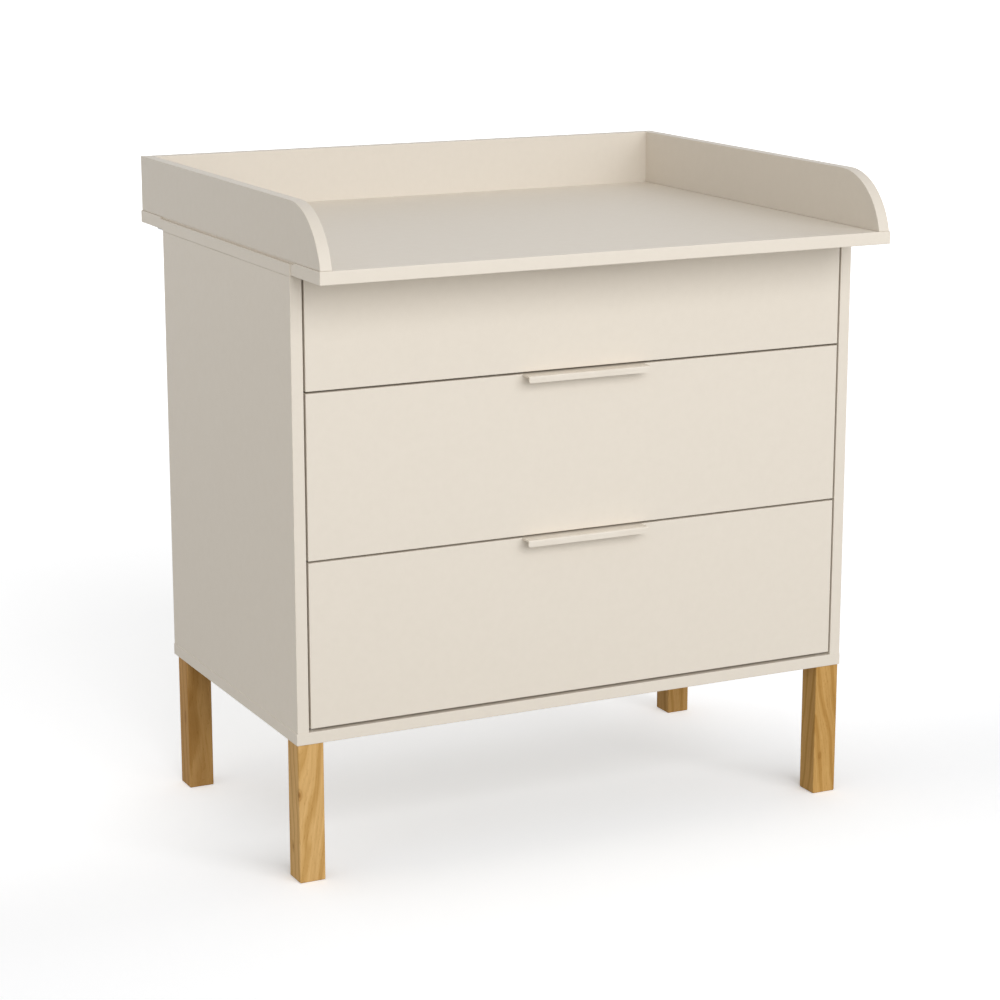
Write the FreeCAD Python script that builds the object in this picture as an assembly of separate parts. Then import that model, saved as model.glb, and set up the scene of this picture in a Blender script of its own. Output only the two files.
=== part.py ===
import FreeCAD, Part
import math
import os

# A changing dresser: a lacquered board cabinet on four oak legs, with three inset drawers on
# roller runners and a changing tray hooked over the cabinet's top.
# Millimetres. X runs left to right, Y from front to back, Z up from the floor. The origin is on
# the floor under the middle of the tray, which is the widest part from front to back.

Vector = FreeCAD.Vector
RIGHT = Vector(1, 0, 0)
BACK = Vector(0, 1, 0)
UP = Vector(0, 0, 1)

# ---- driving dimensions: cabinet ----
cabinet_width = 920.0
cabinet_depth = 520.0
board = 18.0                   # sides, base, top, drawer fronts and rails
base_side_lap = 1.0            # the base stands this far out past each side panel
board_ease = 1.0               # the small flat on every edge of a lacquered board
back_thickness = 3.0
back_inset = 12.0              # from the cabinet's rear edges to the back panel
groove_depth = 6.0
groove_room = 0.2              # a groove is this much wider and deeper than what sits in it

# ---- driving dimensions: legs ----
leg_height = 210.0
leg_width = 40.0
leg_side_inset = 2.0           # from the base's edges
leg_front_inset = 2.0
leg_rear_inset = 14.0
leg_ease = 1.5                 # a leg's long edges and the rim of its foot
leg_bolt_radius = 4.0
leg_bolt_head_radius = 8.0
leg_bolt_head_height = 4.0
leg_bolt_reach = 24.0          # into the leg
insert_radius = 6.0
insert_length = 26.0
leg_dowel_inset = 12.0         # from the leg's outer side

# ---- driving dimensions: drawers ----
upper_front_height = 160.0
middle_front_height = 241.0
lower_front_height = 245.0
front_gap = 3.0                # round each front
base_gap = 5.0                 # under the lowest front
box_drop = 15.0                # from a front's lower edge up to its box
box_headroom = 70.0            # how much lower than its front a box is
box_board = 12.0
box_ease = 1.0
box_bottom_thickness = 3.0
box_bottom_rise = 10.0         # from the box's lower edge to its bottom
rear_room = 37.0               # behind a box, up to the back panel

# ---- driving dimensions: edge pulls ----
handle_length = 200.0
handle_reach = 21.0            # in front of the drawer front
handle_lip = 10.0              # height of the lip that the fingers pull
handle_tail = 15.0             # height of the flange behind the front
handle_plate = 2.5
handle_bend = 3.0              # outer radius of the bends and of the lip's corners
handle_room = 0.15
handle_screw_share = 0.35      # of the handle's length, each side of its middle
handle_screw_drop = 9.0        # below the handle's top

# ---- driving dimensions: roller runners ----
runner_width = 12.5            # from the side panel to the drawer box
runner_steel = 1.2
runner_bend = 0.5              # inner radius of a bend
running_gap = 0.3
channel_room = 0.4             # from the channel's flanges to the drawer profile's web
flange_side_room = 3.0         # from the side panel to the drawer profile's upper flange
roller_radius = 10.0
pin_radius = 2.5
pin_head_radius = 4.0
pin_head = 1.0
pin_slack = 0.08               # round a pin, in its roller's bore
channel_lift = 4.0             # from the channel's lower edge down to the box's lower edge
channel_setback = 2.0          # from the back of a drawer front to the channel's front end
roller_end = 4.0               # from a roller's rim to the end of its profile
runner_overlap = 110.0         # stays in the channel when the drawer is out
stop_height = 2.8
stop_length = 4.0
stop_side_room = 1.0           # beside a stop, in the channel
channel_screw_shares = (0.2, 0.85)     # along the channel, from its front end
profile_screw_shares = (0.12, 0.8)     # along the drawer profile

# ---- driving dimensions: changing tray ----
tray_side_inset = 1.5          # from the cabinet's sides
front_overhang = 105.0
rear_overhang = 104.0
overhang_board = 19.0
deck_sheet = 3.0
deck_lap = 12.0                # the deck sheet lies in a rebate this wide on each overhang
deck_side_inset = 3.0          # leaves the shadow line under the side rails
rail_inset = 1.5               # from the tray's edges
rail_height = 85.0
rail_front_radius = 108.0
rail_screw_setback = 57.0      # from the tray's front and rear edges
rear_screw_share = 0.5         # of half the back rail, from its middle
rail_dowel_shares = (0.3, 0.7)         # of the rails' height
bracket_leg = 30.0
bracket_steel = 2.0
bracket_margin = 1.0           # from the side panel's faces
bracket_screw_reach = 18.0     # from the bracket's outer corner

# ---- driving dimensions: fixings ----
dowel_radius = 4.0
dowel_length = 30.0
dowel_base_depth = 12.0        # the part of a dowel in the board's flat face
cam_radius = 7.5
cam_thickness = 12.5
cam_bolt_radius = 3.0
cam_distance = 34.0            # from the joint to the cam's centre
box_dowel_radius = 3.0
box_dowel_length = 26.0
box_dowel_depth = 10.0         # the part of a dowel in the drawer front
box_cam_radius = 6.0
box_cam_thickness = 9.0
box_cam_bolt_radius = 2.5
box_cam_distance = 24.0
box_lock_rise = 30.0           # from a box's lower edge to its cam lock
box_dowel_drop = 20.0          # from a box's upper edge to its dowel
# each screw's length, its shank's radius, and its head's radius and height
tray_screw = (50.0, 2.25, 4.5, 3.0)
bracket_screw = (15.0, 1.75, 3.5, 1.8)
channel_screw = (13.0, 1.75, 3.5, runner_steel)
profile_screw = (9.0, 1.5, 2.6, runner_steel)
box_screw = (40.0, 2.0, 4.0, 2.5)
handle_screw = (13.0, 1.75, 3.5, 2.0)
peg_slack = 0.05               # round each fixing, in its hole
peg_flats = 6                  # buried fixings and their holes have this many sides
joint_offsets = (70.0, 110.0)  # cams and dowels, from the cabinet's front and rear edges

# ---- worked out from those ----
half_width = cabinet_width / 2
inner_half = half_width - board
tray_depth = front_overhang + cabinet_depth + rear_overhang
tray_front = -tray_depth / 2
tray_rear = tray_depth / 2
front_y = tray_front + front_overhang
rear_y = front_y + cabinet_depth
base_top = leg_height + board
opening_height = (
    base_gap + lower_front_height + middle_front_height + upper_front_height + 3 * front_gap
)
side_top = base_top + opening_height
cabinet_top = side_top + board
deck_top = cabinet_top + deck_sheet
rail_top = deck_top + rail_height
tray_half = half_width - tray_side_inset
rail_outer = tray_half - rail_inset
back_y = rear_y - back_inset - back_thickness
box_front = front_y + board
runner_length = back_y - rear_room - box_front
box_rear = box_front + runner_length
box_half = inner_half - runner_width
travel = runner_length - runner_overlap
channel_height = 2 * (roller_radius + running_gap + runner_steel)
rear_roller_height = channel_height / 2
flange_height = channel_height + running_gap
roller_width = runner_width - 2 * runner_steel - 3 * running_gap - pin_head
front_roller_height = flange_height - running_gap - roller_radius
channel_front = box_front + channel_setback
front_roller_y = channel_front + roller_end + roller_radius
rear_roller_y = box_rear - roller_end - roller_radius

# ---- limits used in making the shapes ----
overcut = 1.0                  # a cut starts this far outside the piece
level = 0.01                   # edges nearer than this lie in one plane
tiny = 1e-6
parallel = 0.999               # the least cosine between directions that count as parallel


# ---- shapes that repeat ----
def block(x, y, z):
    """A rectangular solid between two limits along each axis."""
    corner = Vector(x[0], y[0], z[0])
    return Part.makeBox(x[1] - x[0], y[1] - y[0], z[1] - z[0], corner)


def ring_of_flats(centre, toward, radius):
    """The corners of a small fixing's outline, round a direction."""
    across = toward.cross(RIGHT) if abs(toward.dot(UP)) > parallel else toward.cross(UP)
    turns = [FreeCAD.Rotation(toward, 360.0 * side / peg_flats) for side in range(peg_flats)]
    return [centre + turn.multVec(across.normalize() * radius) for turn in turns]


def turned(start, toward, stations):
    """A small turned piece with flat sides, from distances along a direction and radii there."""
    rings = [ring_of_flats(start + toward * reach, toward, radius) for reach, radius in stations]
    faces = []
    for ring in (rings[0], rings[-1]):
        faces.append(Part.Face(Part.makePolygon(ring + ring[:1])))
    for ring, next_ring in zip(rings, rings[1:]):
        for side in range(peg_flats):
            after = (side + 1) % peg_flats
            corners = [ring[side], ring[after], next_ring[after], next_ring[side]]
            faces.append(Part.Face(Part.makePolygon(corners + corners[:1])))
    solid = Part.Solid(Part.makeShell(faces))
    solid.fixTolerance(tiny)
    return solid if solid.Volume > 0 else solid.reversed()


def stick(start, toward, length, radius):
    """A straight bar with flat sides from a point along a direction."""
    return turned(start, toward, [(0, radius), (length, radius)])


def rounded(shape, radius, chosen):
    """The shape with its chosen straight edges rounded."""
    edges = [edge for edge in shape.Edges if chosen(edge)]
    return shape.makeFillet(radius, edges)


def eased(shape, size, chosen=lambda edge: True):
    """The shape with a small flat on each chosen edge."""
    edges = [edge for edge in shape.Edges if chosen(edge)]
    return shape.makeChamfer(size, edges)


def runs_along(edge, direction):
    """True for an edge that lies along a direction."""
    span = edge.Vertexes[-1].Point - edge.Vertexes[0].Point
    return span.Length > 0 and abs(span.normalize().dot(direction)) > parallel


def outline(points, radii, arcs=True):
    """A closed wire through the points, with each corner rounded by its radius.

    Without arcs, one short flat stands for each rounding.
    """
    ends = []
    edges = []
    for index, corner in enumerate(points):
        before = (points[index - 1] - corner).normalize()
        after = (points[(index + 1) % len(points)] - corner).normalize()
        radius = radii[index]
        half_angle = before.getAngle(after) / 2
        set_back = radius / math.tan(half_angle)
        start = corner + before * set_back
        end = corner + after * set_back
        ends.append((start, end))
        if radius > 0 and not arcs:
            edges.append(Part.LineSegment(start, end).toShape())
        elif radius > 0:
            inward = (before + after).normalize()
            middle = corner + inward * (radius / math.sin(half_angle) - radius)
            edges.append(Part.Arc(start, middle, end).toShape())
    for index, (start, end) in enumerate(ends):
        leaving = ends[index - 1][1]
        if leaving.distanceToPoint(start) > tiny:
            edges.append(Part.LineSegment(leaving, start).toShape())
    return Part.Wire(Part.__sortEdges__(edges))


def extruded(points, radii, along, arcs=True):
    """A solid with a flat outline, as long as the vector."""
    return Part.Face(outline(points, radii, arcs)).extrude(along)


def mirrored(shape):
    """The same shape on the other side of the dresser."""
    return shape.mirror(Vector(0, 0, 0), RIGHT)


def both_sides(shapes):
    """Left-hand shapes, and their right-hand copies."""
    return shapes + [mirrored(shape) for shape in shapes]


def peg(start, toward, length, radius):
    """A round fixing buried in two boards, and the hole that takes it."""
    solid = stick(start, toward, length, radius)
    hole_start = start - toward * peg_slack
    hole = stick(hole_start, toward, length + 2 * peg_slack, radius + peg_slack)
    return solid, hole


def screw(start, toward, sizes):
    """A countersunk screw that starts at its head, and the hole that takes it."""
    length, radius, head_radius, head_height = sizes
    stations = [(0, head_radius), (head_height, radius), (length, radius)]
    slack_stations = [(reach, station_radius + peg_slack) for reach, station_radius in stations[:2]]
    slack_stations.append((length + peg_slack, radius + peg_slack))
    return turned(start, toward, stations), turned(start, toward, slack_stations)


def cam_lock(joint, into_edge, cam_axis, sizes):
    """A cam bolt across a joint and the disc that pulls it tight, with the bolt's holes.

    The joint point lies on the face between the boards, into_edge points into the board that
    holds the disc, and cam_axis from the disc's open face into that board. The sizes are the
    disc's radius and thickness, its distance from the joint, how deep it starts, the bolt's
    radius and how far the bolt reaches into the other board.
    """
    cam, thickness, distance, face_offset, bolt, reach = sizes
    bolt_start = joint - into_edge * reach
    bolt_solid, bolt_hole = peg(bolt_start, into_edge, reach + distance, bolt)
    face = joint + into_edge * distance - cam_axis * face_offset
    disc = stick(face, cam_axis, thickness, cam).cut(bolt_hole)
    disc_hole = stick(face, cam_axis, thickness + peg_slack, cam + peg_slack)
    return [bolt_solid, disc], bolt_hole.fuse(disc_hole)


def write(name, shapes):
    """One file for a sub-part, which may be a group of separate solids."""
    shape = shapes[0] if len(shapes) == 1 else Part.makeCompound(shapes)
    shape.exportStep("parts/" + name + ".step")


os.makedirs("parts", exist_ok=True)


# ---- cabinet boards ----
def cabinet_base():
    """The bottom board, a little wider than the cabinet on both sides."""
    half = half_width + base_side_lap
    shape = block((-half, half), (front_y, rear_y), (leg_height, base_top))
    return eased(shape, board_ease)


def cabinet_cover():
    """The cabinet's own top board, which lies over both side panels."""
    shape = block((-half_width, half_width), (front_y, rear_y), (side_top, cabinet_top))
    return eased(shape, board_ease)


def side_panel():
    """The left side panel, between the base and the top."""
    shape = block((-half_width, -inner_half), (front_y, rear_y), (base_top, side_top))
    return eased(shape, board_ease, lambda edge: runs_along(edge, UP))


def back_groove():
    """The groove that runs round inside the cabinet for its back panel."""
    room = groove_depth + groove_room
    half = inner_half + room
    depth = (back_y - groove_room, rear_y - back_inset)
    return block((-half, half), depth, (base_top - room, side_top + room))


def back_panel():
    """The thin back board, standing in that groove."""
    half = inner_half + groove_depth
    return block(
        (-half, half),
        (back_y - groove_room / 2, rear_y - back_inset - groove_room / 2),
        (base_top - groove_depth, side_top + groove_depth),
    )


def cabinet_joints():
    """Cam locks and dowels between the left side panel and the base and top boards."""
    centre_x = -half_width + board / 2
    rows = [front_y + offset for offset in joint_offsets]
    rows += [rear_y - offset for offset in joint_offsets]
    cams = []
    dowels = []
    holes = []
    sizes = (cam_radius, cam_thickness, cam_distance, board / 2, cam_bolt_radius, dowel_base_depth)
    for joint_z, inward in ((base_top, UP), (side_top, -UP)):
        for row, y in enumerate(rows):
            joint = Vector(centre_x, y, joint_z)
            if row % 2 == 0:
                solids, hole = cam_lock(joint, inward, -RIGHT, sizes)
                cams += solids
            else:
                start = joint - inward * dowel_base_depth
                solid, hole = peg(start, inward, dowel_length, dowel_radius)
                dowels.append(solid)
            holes.append(hole)
    return cams, dowels, holes


# ---- legs ----
def leg(y0):
    """A left-hand square oak leg whose front face is at y0."""
    x0 = -half_width - base_side_lap + leg_side_inset
    shape = block((x0, x0 + leg_width), (y0, y0 + leg_width), (0, leg_height))
    return eased(shape, leg_ease, lambda edge: edge.BoundBox.ZMin < leg_height - leg_ease)


def leg_fixings(y0):
    """The bolt from inside the cabinet, its threaded insert, and a dowel against turning."""
    x0 = -half_width - base_side_lap + leg_side_inset
    centre_y = y0 + leg_width / 2
    bolt_x = (x0 + leg_width - inner_half) / 2
    bolt_foot = Vector(bolt_x, centre_y, leg_height - leg_bolt_reach)
    bolt_length = leg_bolt_reach + board
    shank, shank_hole = peg(bolt_foot, UP, bolt_length, leg_bolt_radius)
    head = stick(Vector(bolt_x, centre_y, base_top), UP, leg_bolt_head_height, leg_bolt_head_radius)
    bolt = head.fuse(shank).removeSplitter()
    insert_foot = Vector(bolt_x, centre_y, leg_height - insert_length)
    insert, insert_hole = peg(insert_foot, UP, insert_length, insert_radius)
    insert = insert.cut(shank_hole)
    dowel_foot = Vector(x0 + leg_dowel_inset, centre_y, leg_height - dowel_length + dowel_base_depth)
    dowel, dowel_hole = peg(dowel_foot, UP, dowel_length, dowel_radius)
    return bolt, insert, dowel, [shank_hole, insert_hole, dowel_hole]


# ---- changing tray ----
def overhang(y0, y1, lap):
    """A board in front of or behind the cabinet's top, rebated for the deck sheet."""
    z0 = deck_top - overhang_board
    shape = block((-tray_half, tray_half), (y0, y1), (z0, deck_top))
    shape = eased(shape, board_ease)
    half = tray_half + overcut
    return shape.cut(block((-half, half), lap, (cabinet_top, deck_top + overcut)))


def tray_deck():
    """The thin sheet that the changing mat lies on, over the cabinet's top."""
    half = tray_half - deck_side_inset
    return block((-half, half), (front_y - deck_lap, rear_y + deck_lap), (cabinet_top, deck_top))


def side_rail():
    """The left rail, on edge over the full depth, with its front end rounded down to the deck."""
    front = tray_front + rail_inset
    rear = tray_rear - rail_inset
    curve_height = min(rail_front_radius, rail_height)
    sink = rail_front_radius - curve_height
    reach = math.sqrt(rail_front_radius ** 2 - sink ** 2)
    centre = Vector(-rail_outer, front + reach, rail_top - rail_front_radius)
    foot_angle = math.atan2(sink, -reach)
    middle_angle = (foot_angle + math.pi / 2) / 2

    def on_curve(angle):
        return centre + (BACK * math.cos(angle) + UP * math.sin(angle)) * rail_front_radius

    curve_top = on_curve(math.pi / 2)
    curve_foot = on_curve(foot_angle)
    front_foot = Vector(-rail_outer, front, deck_top)
    rear_foot = Vector(-rail_outer, rear, deck_top)
    rear_top = Vector(-rail_outer, rear, rail_top)
    edges = [
        Part.Arc(curve_foot, on_curve(middle_angle), curve_top).toShape(),
        Part.LineSegment(curve_top, rear_top).toShape(),
        Part.LineSegment(rear_top, rear_foot).toShape(),
        Part.LineSegment(rear_foot, front_foot).toShape(),
    ]
    if curve_foot.distanceToPoint(front_foot) > tiny:
        edges.append(Part.LineSegment(front_foot, curve_foot).toShape())
    face = Part.Face(Part.Wire(Part.__sortEdges__(edges)))
    shape = face.extrude(RIGHT * board)
    return eased(shape, board_ease, lambda edge: edge.BoundBox.ZMax > deck_top + level)


def rear_rail():
    """The rail between the two side rails, flush with their rear ends."""
    half = rail_outer - board
    rear = tray_rear - rail_inset
    shape = block((-half, half), (rear - board, rear), (deck_top, rail_top))

    def is_long_and_high(edge):
        return runs_along(edge, RIGHT) and edge.BoundBox.ZMin > deck_top

    return eased(shape, board_ease, is_long_and_high)


def tray_fixings():
    """Screws up through the overhangs into the rails, and dowels between the rails."""
    under = deck_top - overhang_board
    rail_x = -rail_outer + board / 2
    rear_x = -rail_outer + board
    rear_centre = tray_rear - rail_inset - board / 2
    places = [
        (rail_x, tray_front + rail_screw_setback),
        (rail_x, tray_rear - rail_screw_setback),
        (rear_x * rear_screw_share, rear_centre),
    ]
    screws = []
    holes = []
    for x, y in places:
        solid, hole = screw(Vector(x, y, under), UP, tray_screw)
        screws.append(solid)
        holes.append(hole)
    dowels = []
    for share in rail_dowel_shares:
        start = Vector(rear_x - dowel_base_depth, rear_centre, deck_top + rail_height * share)
        solid, hole = peg(start, RIGHT, dowel_length, dowel_radius)
        dowels.append(solid)
        holes.append(hole)
    return screws, dowels, holes


def tray_bracket():
    """The left angle bracket, under the rear overhang and against the side panel's rear edge."""
    width = board - 2 * bracket_margin
    centre_x = -half_width + board / 2
    x = (centre_x - width / 2, centre_x + width / 2)
    under = deck_top - overhang_board
    upright = block(x, (rear_y, rear_y + bracket_steel), (under - bracket_leg, under))
    flange = block(x, (rear_y, rear_y + bracket_leg), (under - bracket_steel, under))
    shape = upright.fuse(flange).removeSplitter()
    into_overhang = Vector(centre_x, rear_y + bracket_screw_reach, under - bracket_steel)
    into_side = Vector(centre_x, rear_y + bracket_steel, under - bracket_screw_reach)
    screws = []
    holes = []
    for start, toward in ((into_overhang, UP), (into_side, -BACK)):
        solid, hole = screw(start, toward, bracket_screw)
        screws.append(solid)
        holes.append(hole)
    return shape, screws, holes


# ---- roller runners: u runs from the side panel inwards, and w up from the channel's foot ----
def section(z0, pairs, y):
    """Points of a runner's section, from (u, w) pairs."""
    return [Vector(-inner_half + u, y, z0 + w) for u, w in pairs]


def cabinet_runner(z0):
    """The left C channel on the side panel, with its stops, roller notch and pin hole."""
    steel = runner_steel
    depth = runner_width - steel - channel_room
    height = channel_height
    pairs = [
        (0, 0), (depth, 0), (depth, steel), (steel, steel),
        (steel, height - steel), (depth, height - steel), (depth, height), (0, height),
    ]
    outer = steel + runner_bend
    radii = [outer, 0, 0, runner_bend, runner_bend, 0, 0, outer]
    shape = extruded(section(z0, pairs, channel_front), radii, BACK * runner_length, False)
    left = -inner_half
    notch_end = front_roller_y + roller_radius + 2 * runner_steel
    notch = block(
        (left + steel, left + runner_width),
        (channel_front - overcut, notch_end),
        (z0 + height - steel - overcut, z0 + height + overcut),
    )
    shape = shape.cut(notch)
    reach = left + depth - stop_side_room
    tab_y = rear_roller_y + roller_radius + running_gap
    tab = block((left, reach), (tab_y, tab_y + steel), (z0 + steel / 2, z0 + height - steel / 2))
    last_y = rear_roller_y - travel
    drop = rear_roller_height - runner_steel - stop_height
    stop_y = last_y - math.sqrt(roller_radius ** 2 - drop ** 2) - running_gap
    stop = block(
        (left + steel + stop_side_room, reach),
        (stop_y - stop_length, stop_y),
        (z0 + steel / 2, z0 + steel + stop_height),
    )
    axle = Vector(left, front_roller_y, z0 + front_roller_height)
    pin_hole = stick(axle, RIGHT, steel, pin_radius + peg_slack)
    return shape.fuse([tab, stop]).removeSplitter().cut(pin_hole)


def drawer_runner(z0):
    """The left Z profile on the drawer: a flange over the rollers and one under the box."""
    steel = runner_steel
    web = runner_width - steel
    top = flange_height + steel
    under_box = runner_width + box_board
    foot = -channel_lift
    pairs = [
        (flange_side_room, flange_height), (web, flange_height), (web, foot - steel),
        (under_box, foot - steel), (under_box, foot),
        (runner_width, foot), (runner_width, top), (flange_side_room, top),
    ]
    outer = steel + runner_bend
    radii = [0, runner_bend, outer, 0, 0, runner_bend, outer, 0]
    shape = extruded(section(z0, pairs, box_front), radii, BACK * runner_length, False)
    axle = Vector(-inner_half + web, rear_roller_y, z0 + rear_roller_height)
    return shape.cut(stick(axle, RIGHT, steel, pin_radius + peg_slack))


def roller_on_pin(axis_point, toward):
    """A nylon roller and its riveted pin, from the web that holds the pin, along a direction."""
    roller_start = axis_point + toward * (runner_steel + running_gap)
    shank = runner_steel + roller_width + 2 * running_gap
    head = (shank, pin_head_radius)
    end = (shank + pin_head, pin_head_radius)
    pin = turned(axis_point, toward, [(0, pin_radius), (shank, pin_radius), head, end])
    wheel = Part.makeCylinder(roller_radius, roller_width, roller_start, toward)
    bore_radius = (pin_radius + pin_slack) / math.cos(math.pi / peg_flats)
    return wheel.cut(stick(roller_start, toward, roller_width, bore_radius)), pin


def runner_screws(z0):
    """Screws that hold the left channel to the side panel, with their heads flush in its web."""
    screws = []
    holes = []
    for share in channel_screw_shares:
        y = channel_front + runner_length * share
        start = Vector(-inner_half + runner_steel, y, z0 + channel_height / 2)
        solid, hole = screw(start, -RIGHT, channel_screw)
        screws.append(solid)
        holes.append(hole)
    return screws, holes


# ---- drawers ----
def drawer_handle(top_z):
    """A bent plate let into the front's top edge, with a lip in front and a flange behind."""
    x = -handle_length / 2
    lip_y = front_y - handle_reach
    tail_y = box_front + handle_plate
    points = [
        Vector(x, lip_y, top_z), Vector(x, lip_y, top_z - handle_lip),
        Vector(x, lip_y + handle_plate, top_z - handle_lip),
        Vector(x, lip_y + handle_plate, top_z - handle_plate),
        Vector(x, box_front, top_z - handle_plate), Vector(x, box_front, top_z - handle_tail),
        Vector(x, tail_y, top_z - handle_tail), Vector(x, tail_y, top_z),
    ]
    radii = [handle_bend, 0, 0, 0, 0, 0, 0, handle_bend]
    shape = extruded(points, radii, RIGHT * handle_length)

    def is_lip_corner(edge):
        low = edge.BoundBox.ZMax < top_z - handle_lip + level
        return low and runs_along(edge, BACK) and edge.BoundBox.YMax < front_y

    return rounded(shape, handle_bend, is_lip_corner)


def drawer_front(z0, z1, box_z):
    """An inset front, grooved behind for the drawer's bottom and recessed for its handle."""
    half = inner_half - front_gap
    shape = block((-half, half), (front_y, box_front), (z0, z1))
    shape = eased(shape, board_ease)
    slot_half = handle_length / 2 + handle_room
    slot_floor = z1 - handle_plate - handle_room
    through = (front_y - overcut, box_front + overcut)
    handle_slot = block((-slot_half, slot_half), through, (slot_floor, z1 + overcut))
    shape = shape.cut(handle_slot)

    def meets_handle_bend(edge):
        at_floor = abs(edge.BoundBox.ZMax - slot_floor) < level
        return at_floor and runs_along(edge, RIGHT) and edge.BoundBox.YMin > box_front - level

    shape = eased(shape, board_ease, meets_handle_bend)
    return shape.cut(bottom_groove(box_z))


def bottom_groove(box_z):
    """The groove round the inside of a drawer box for its thin bottom."""
    half = box_half - box_board + groove_depth + groove_room
    z0 = box_z + box_bottom_rise
    z1 = z0 + box_bottom_thickness + groove_room
    y0 = box_front - groove_depth - groove_room
    y1 = box_rear - box_board + groove_depth + groove_room
    return block((-half, half), (y0, y1), (z0, z1))


def drawer_bottom(box_z):
    """The thin bottom, in the grooves of the front, the sides and the back."""
    half = box_half - box_board + groove_depth
    z0 = box_z + box_bottom_rise + groove_room / 2
    y0 = box_front - groove_depth
    y1 = box_rear - box_board + groove_depth
    return block((-half, half), (y0, y1), (z0, z0 + box_bottom_thickness))


def drawer_side(box_z, box_height):
    """The left side board of a box, with its long edges rounded."""
    x = (-box_half, -box_half + box_board)
    shape = block(x, (box_front, box_rear), (box_z, box_z + box_height))
    shape = eased(shape, box_ease, lambda edge: runs_along(edge, BACK))
    return shape.cut(bottom_groove(box_z))


def drawer_back(box_z, box_height):
    """The board between the two sides at the rear."""
    half = box_half - box_board
    shape = block((-half, half), (box_rear - box_board, box_rear), (box_z, box_z + box_height))
    shape = eased(shape, box_ease, lambda edge: runs_along(edge, RIGHT))
    return shape.cut(bottom_groove(box_z))


def drawer_joints(box_z, box_height):
    """The left side's dowel and cam lock at the front, and its screws into the back."""
    centre_x = -box_half + box_board / 2
    low = box_z + box_lock_rise
    high = box_z + box_height - box_dowel_drop
    solids = []
    holes = []
    start = Vector(centre_x, box_front - box_dowel_depth, high)
    solid, hole = peg(start, BACK, box_dowel_length, box_dowel_radius)
    solids.append(solid)
    holes.append(hole)
    for z in (low, high):
        head = Vector(-box_half, box_rear - box_board / 2, z)
        solid, hole = screw(head, RIGHT, box_screw)
        solids.append(solid)
        holes.append(hole)
    joint = Vector(centre_x, box_front, low)
    disc = (box_cam_radius, box_cam_thickness, box_cam_distance, box_board / 2)
    lock, hole = cam_lock(joint, BACK, -RIGHT, (*disc, box_cam_bolt_radius, box_dowel_depth))
    return solids + lock, holes + [hole]


def handle_screws(top_z):
    """Screws through the handle's flange into the back of the drawer front."""
    screws = []
    holes = []
    for x in (-handle_length * handle_screw_share, handle_length * handle_screw_share):
        start = Vector(x, box_front + handle_plate, top_z - handle_screw_drop)
        solid, hole = screw(start, -BACK, handle_screw)
        screws.append(solid)
        holes.append(hole)
    return screws, holes


def floor_screws(z0):
    """Screws up through the left drawer profile's lower flange into the drawer side."""
    screws = []
    holes = []
    for share in profile_screw_shares:
        y = box_front + runner_length * share
        under = z0 - channel_lift - runner_steel
        start = Vector(-box_half + box_board / 2, y, under)
        solid, hole = screw(start, UP, profile_screw)
        screws.append(solid)
        holes.append(hole)
    return screws, holes


def cut_all(shape, holes):
    """The shape with every hole that reaches it."""
    near = [hole for hole in holes if hole.BoundBox.intersect(shape.BoundBox)]
    return shape.cut(near) if near else shape


# ---- putting the cabinet together ----
cams, carcass_dowels, joint_holes = cabinet_joints()
bracket, bracket_screws, bracket_holes = tray_bracket()
tray_screws, tray_dowels, tray_holes = tray_fixings()

leg_rows = {
    "front": front_y + leg_front_inset,
    "rear": rear_y - leg_rear_inset - leg_width,
}
leg_bolts = []
leg_inserts = []
leg_dowels = []
leg_holes = []
for row_name, row_y in leg_rows.items():
    bolt, insert, dowel, holes = leg_fixings(row_y)
    left_leg = cut_all(leg(row_y), holes)
    write("leg_" + row_name + "_left", [left_leg])
    write("leg_" + row_name + "_right", [mirrored(left_leg)])
    leg_bolts.append(bolt)
    leg_inserts.append(insert)
    leg_dowels.append(dowel)
    leg_holes += holes
write("leg_bolts", both_sides(leg_bolts))
write("leg_inserts", both_sides(leg_inserts))
write("leg_dowels", both_sides(leg_dowels))

drawer_levels = {}
front_foot = base_top + base_gap
for drawer_name, height in (
    ("lower", lower_front_height),
    ("middle", middle_front_height),
    ("upper", upper_front_height),
):
    drawer_levels[drawer_name] = (front_foot, front_foot + height)
    front_foot += height + front_gap

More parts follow.
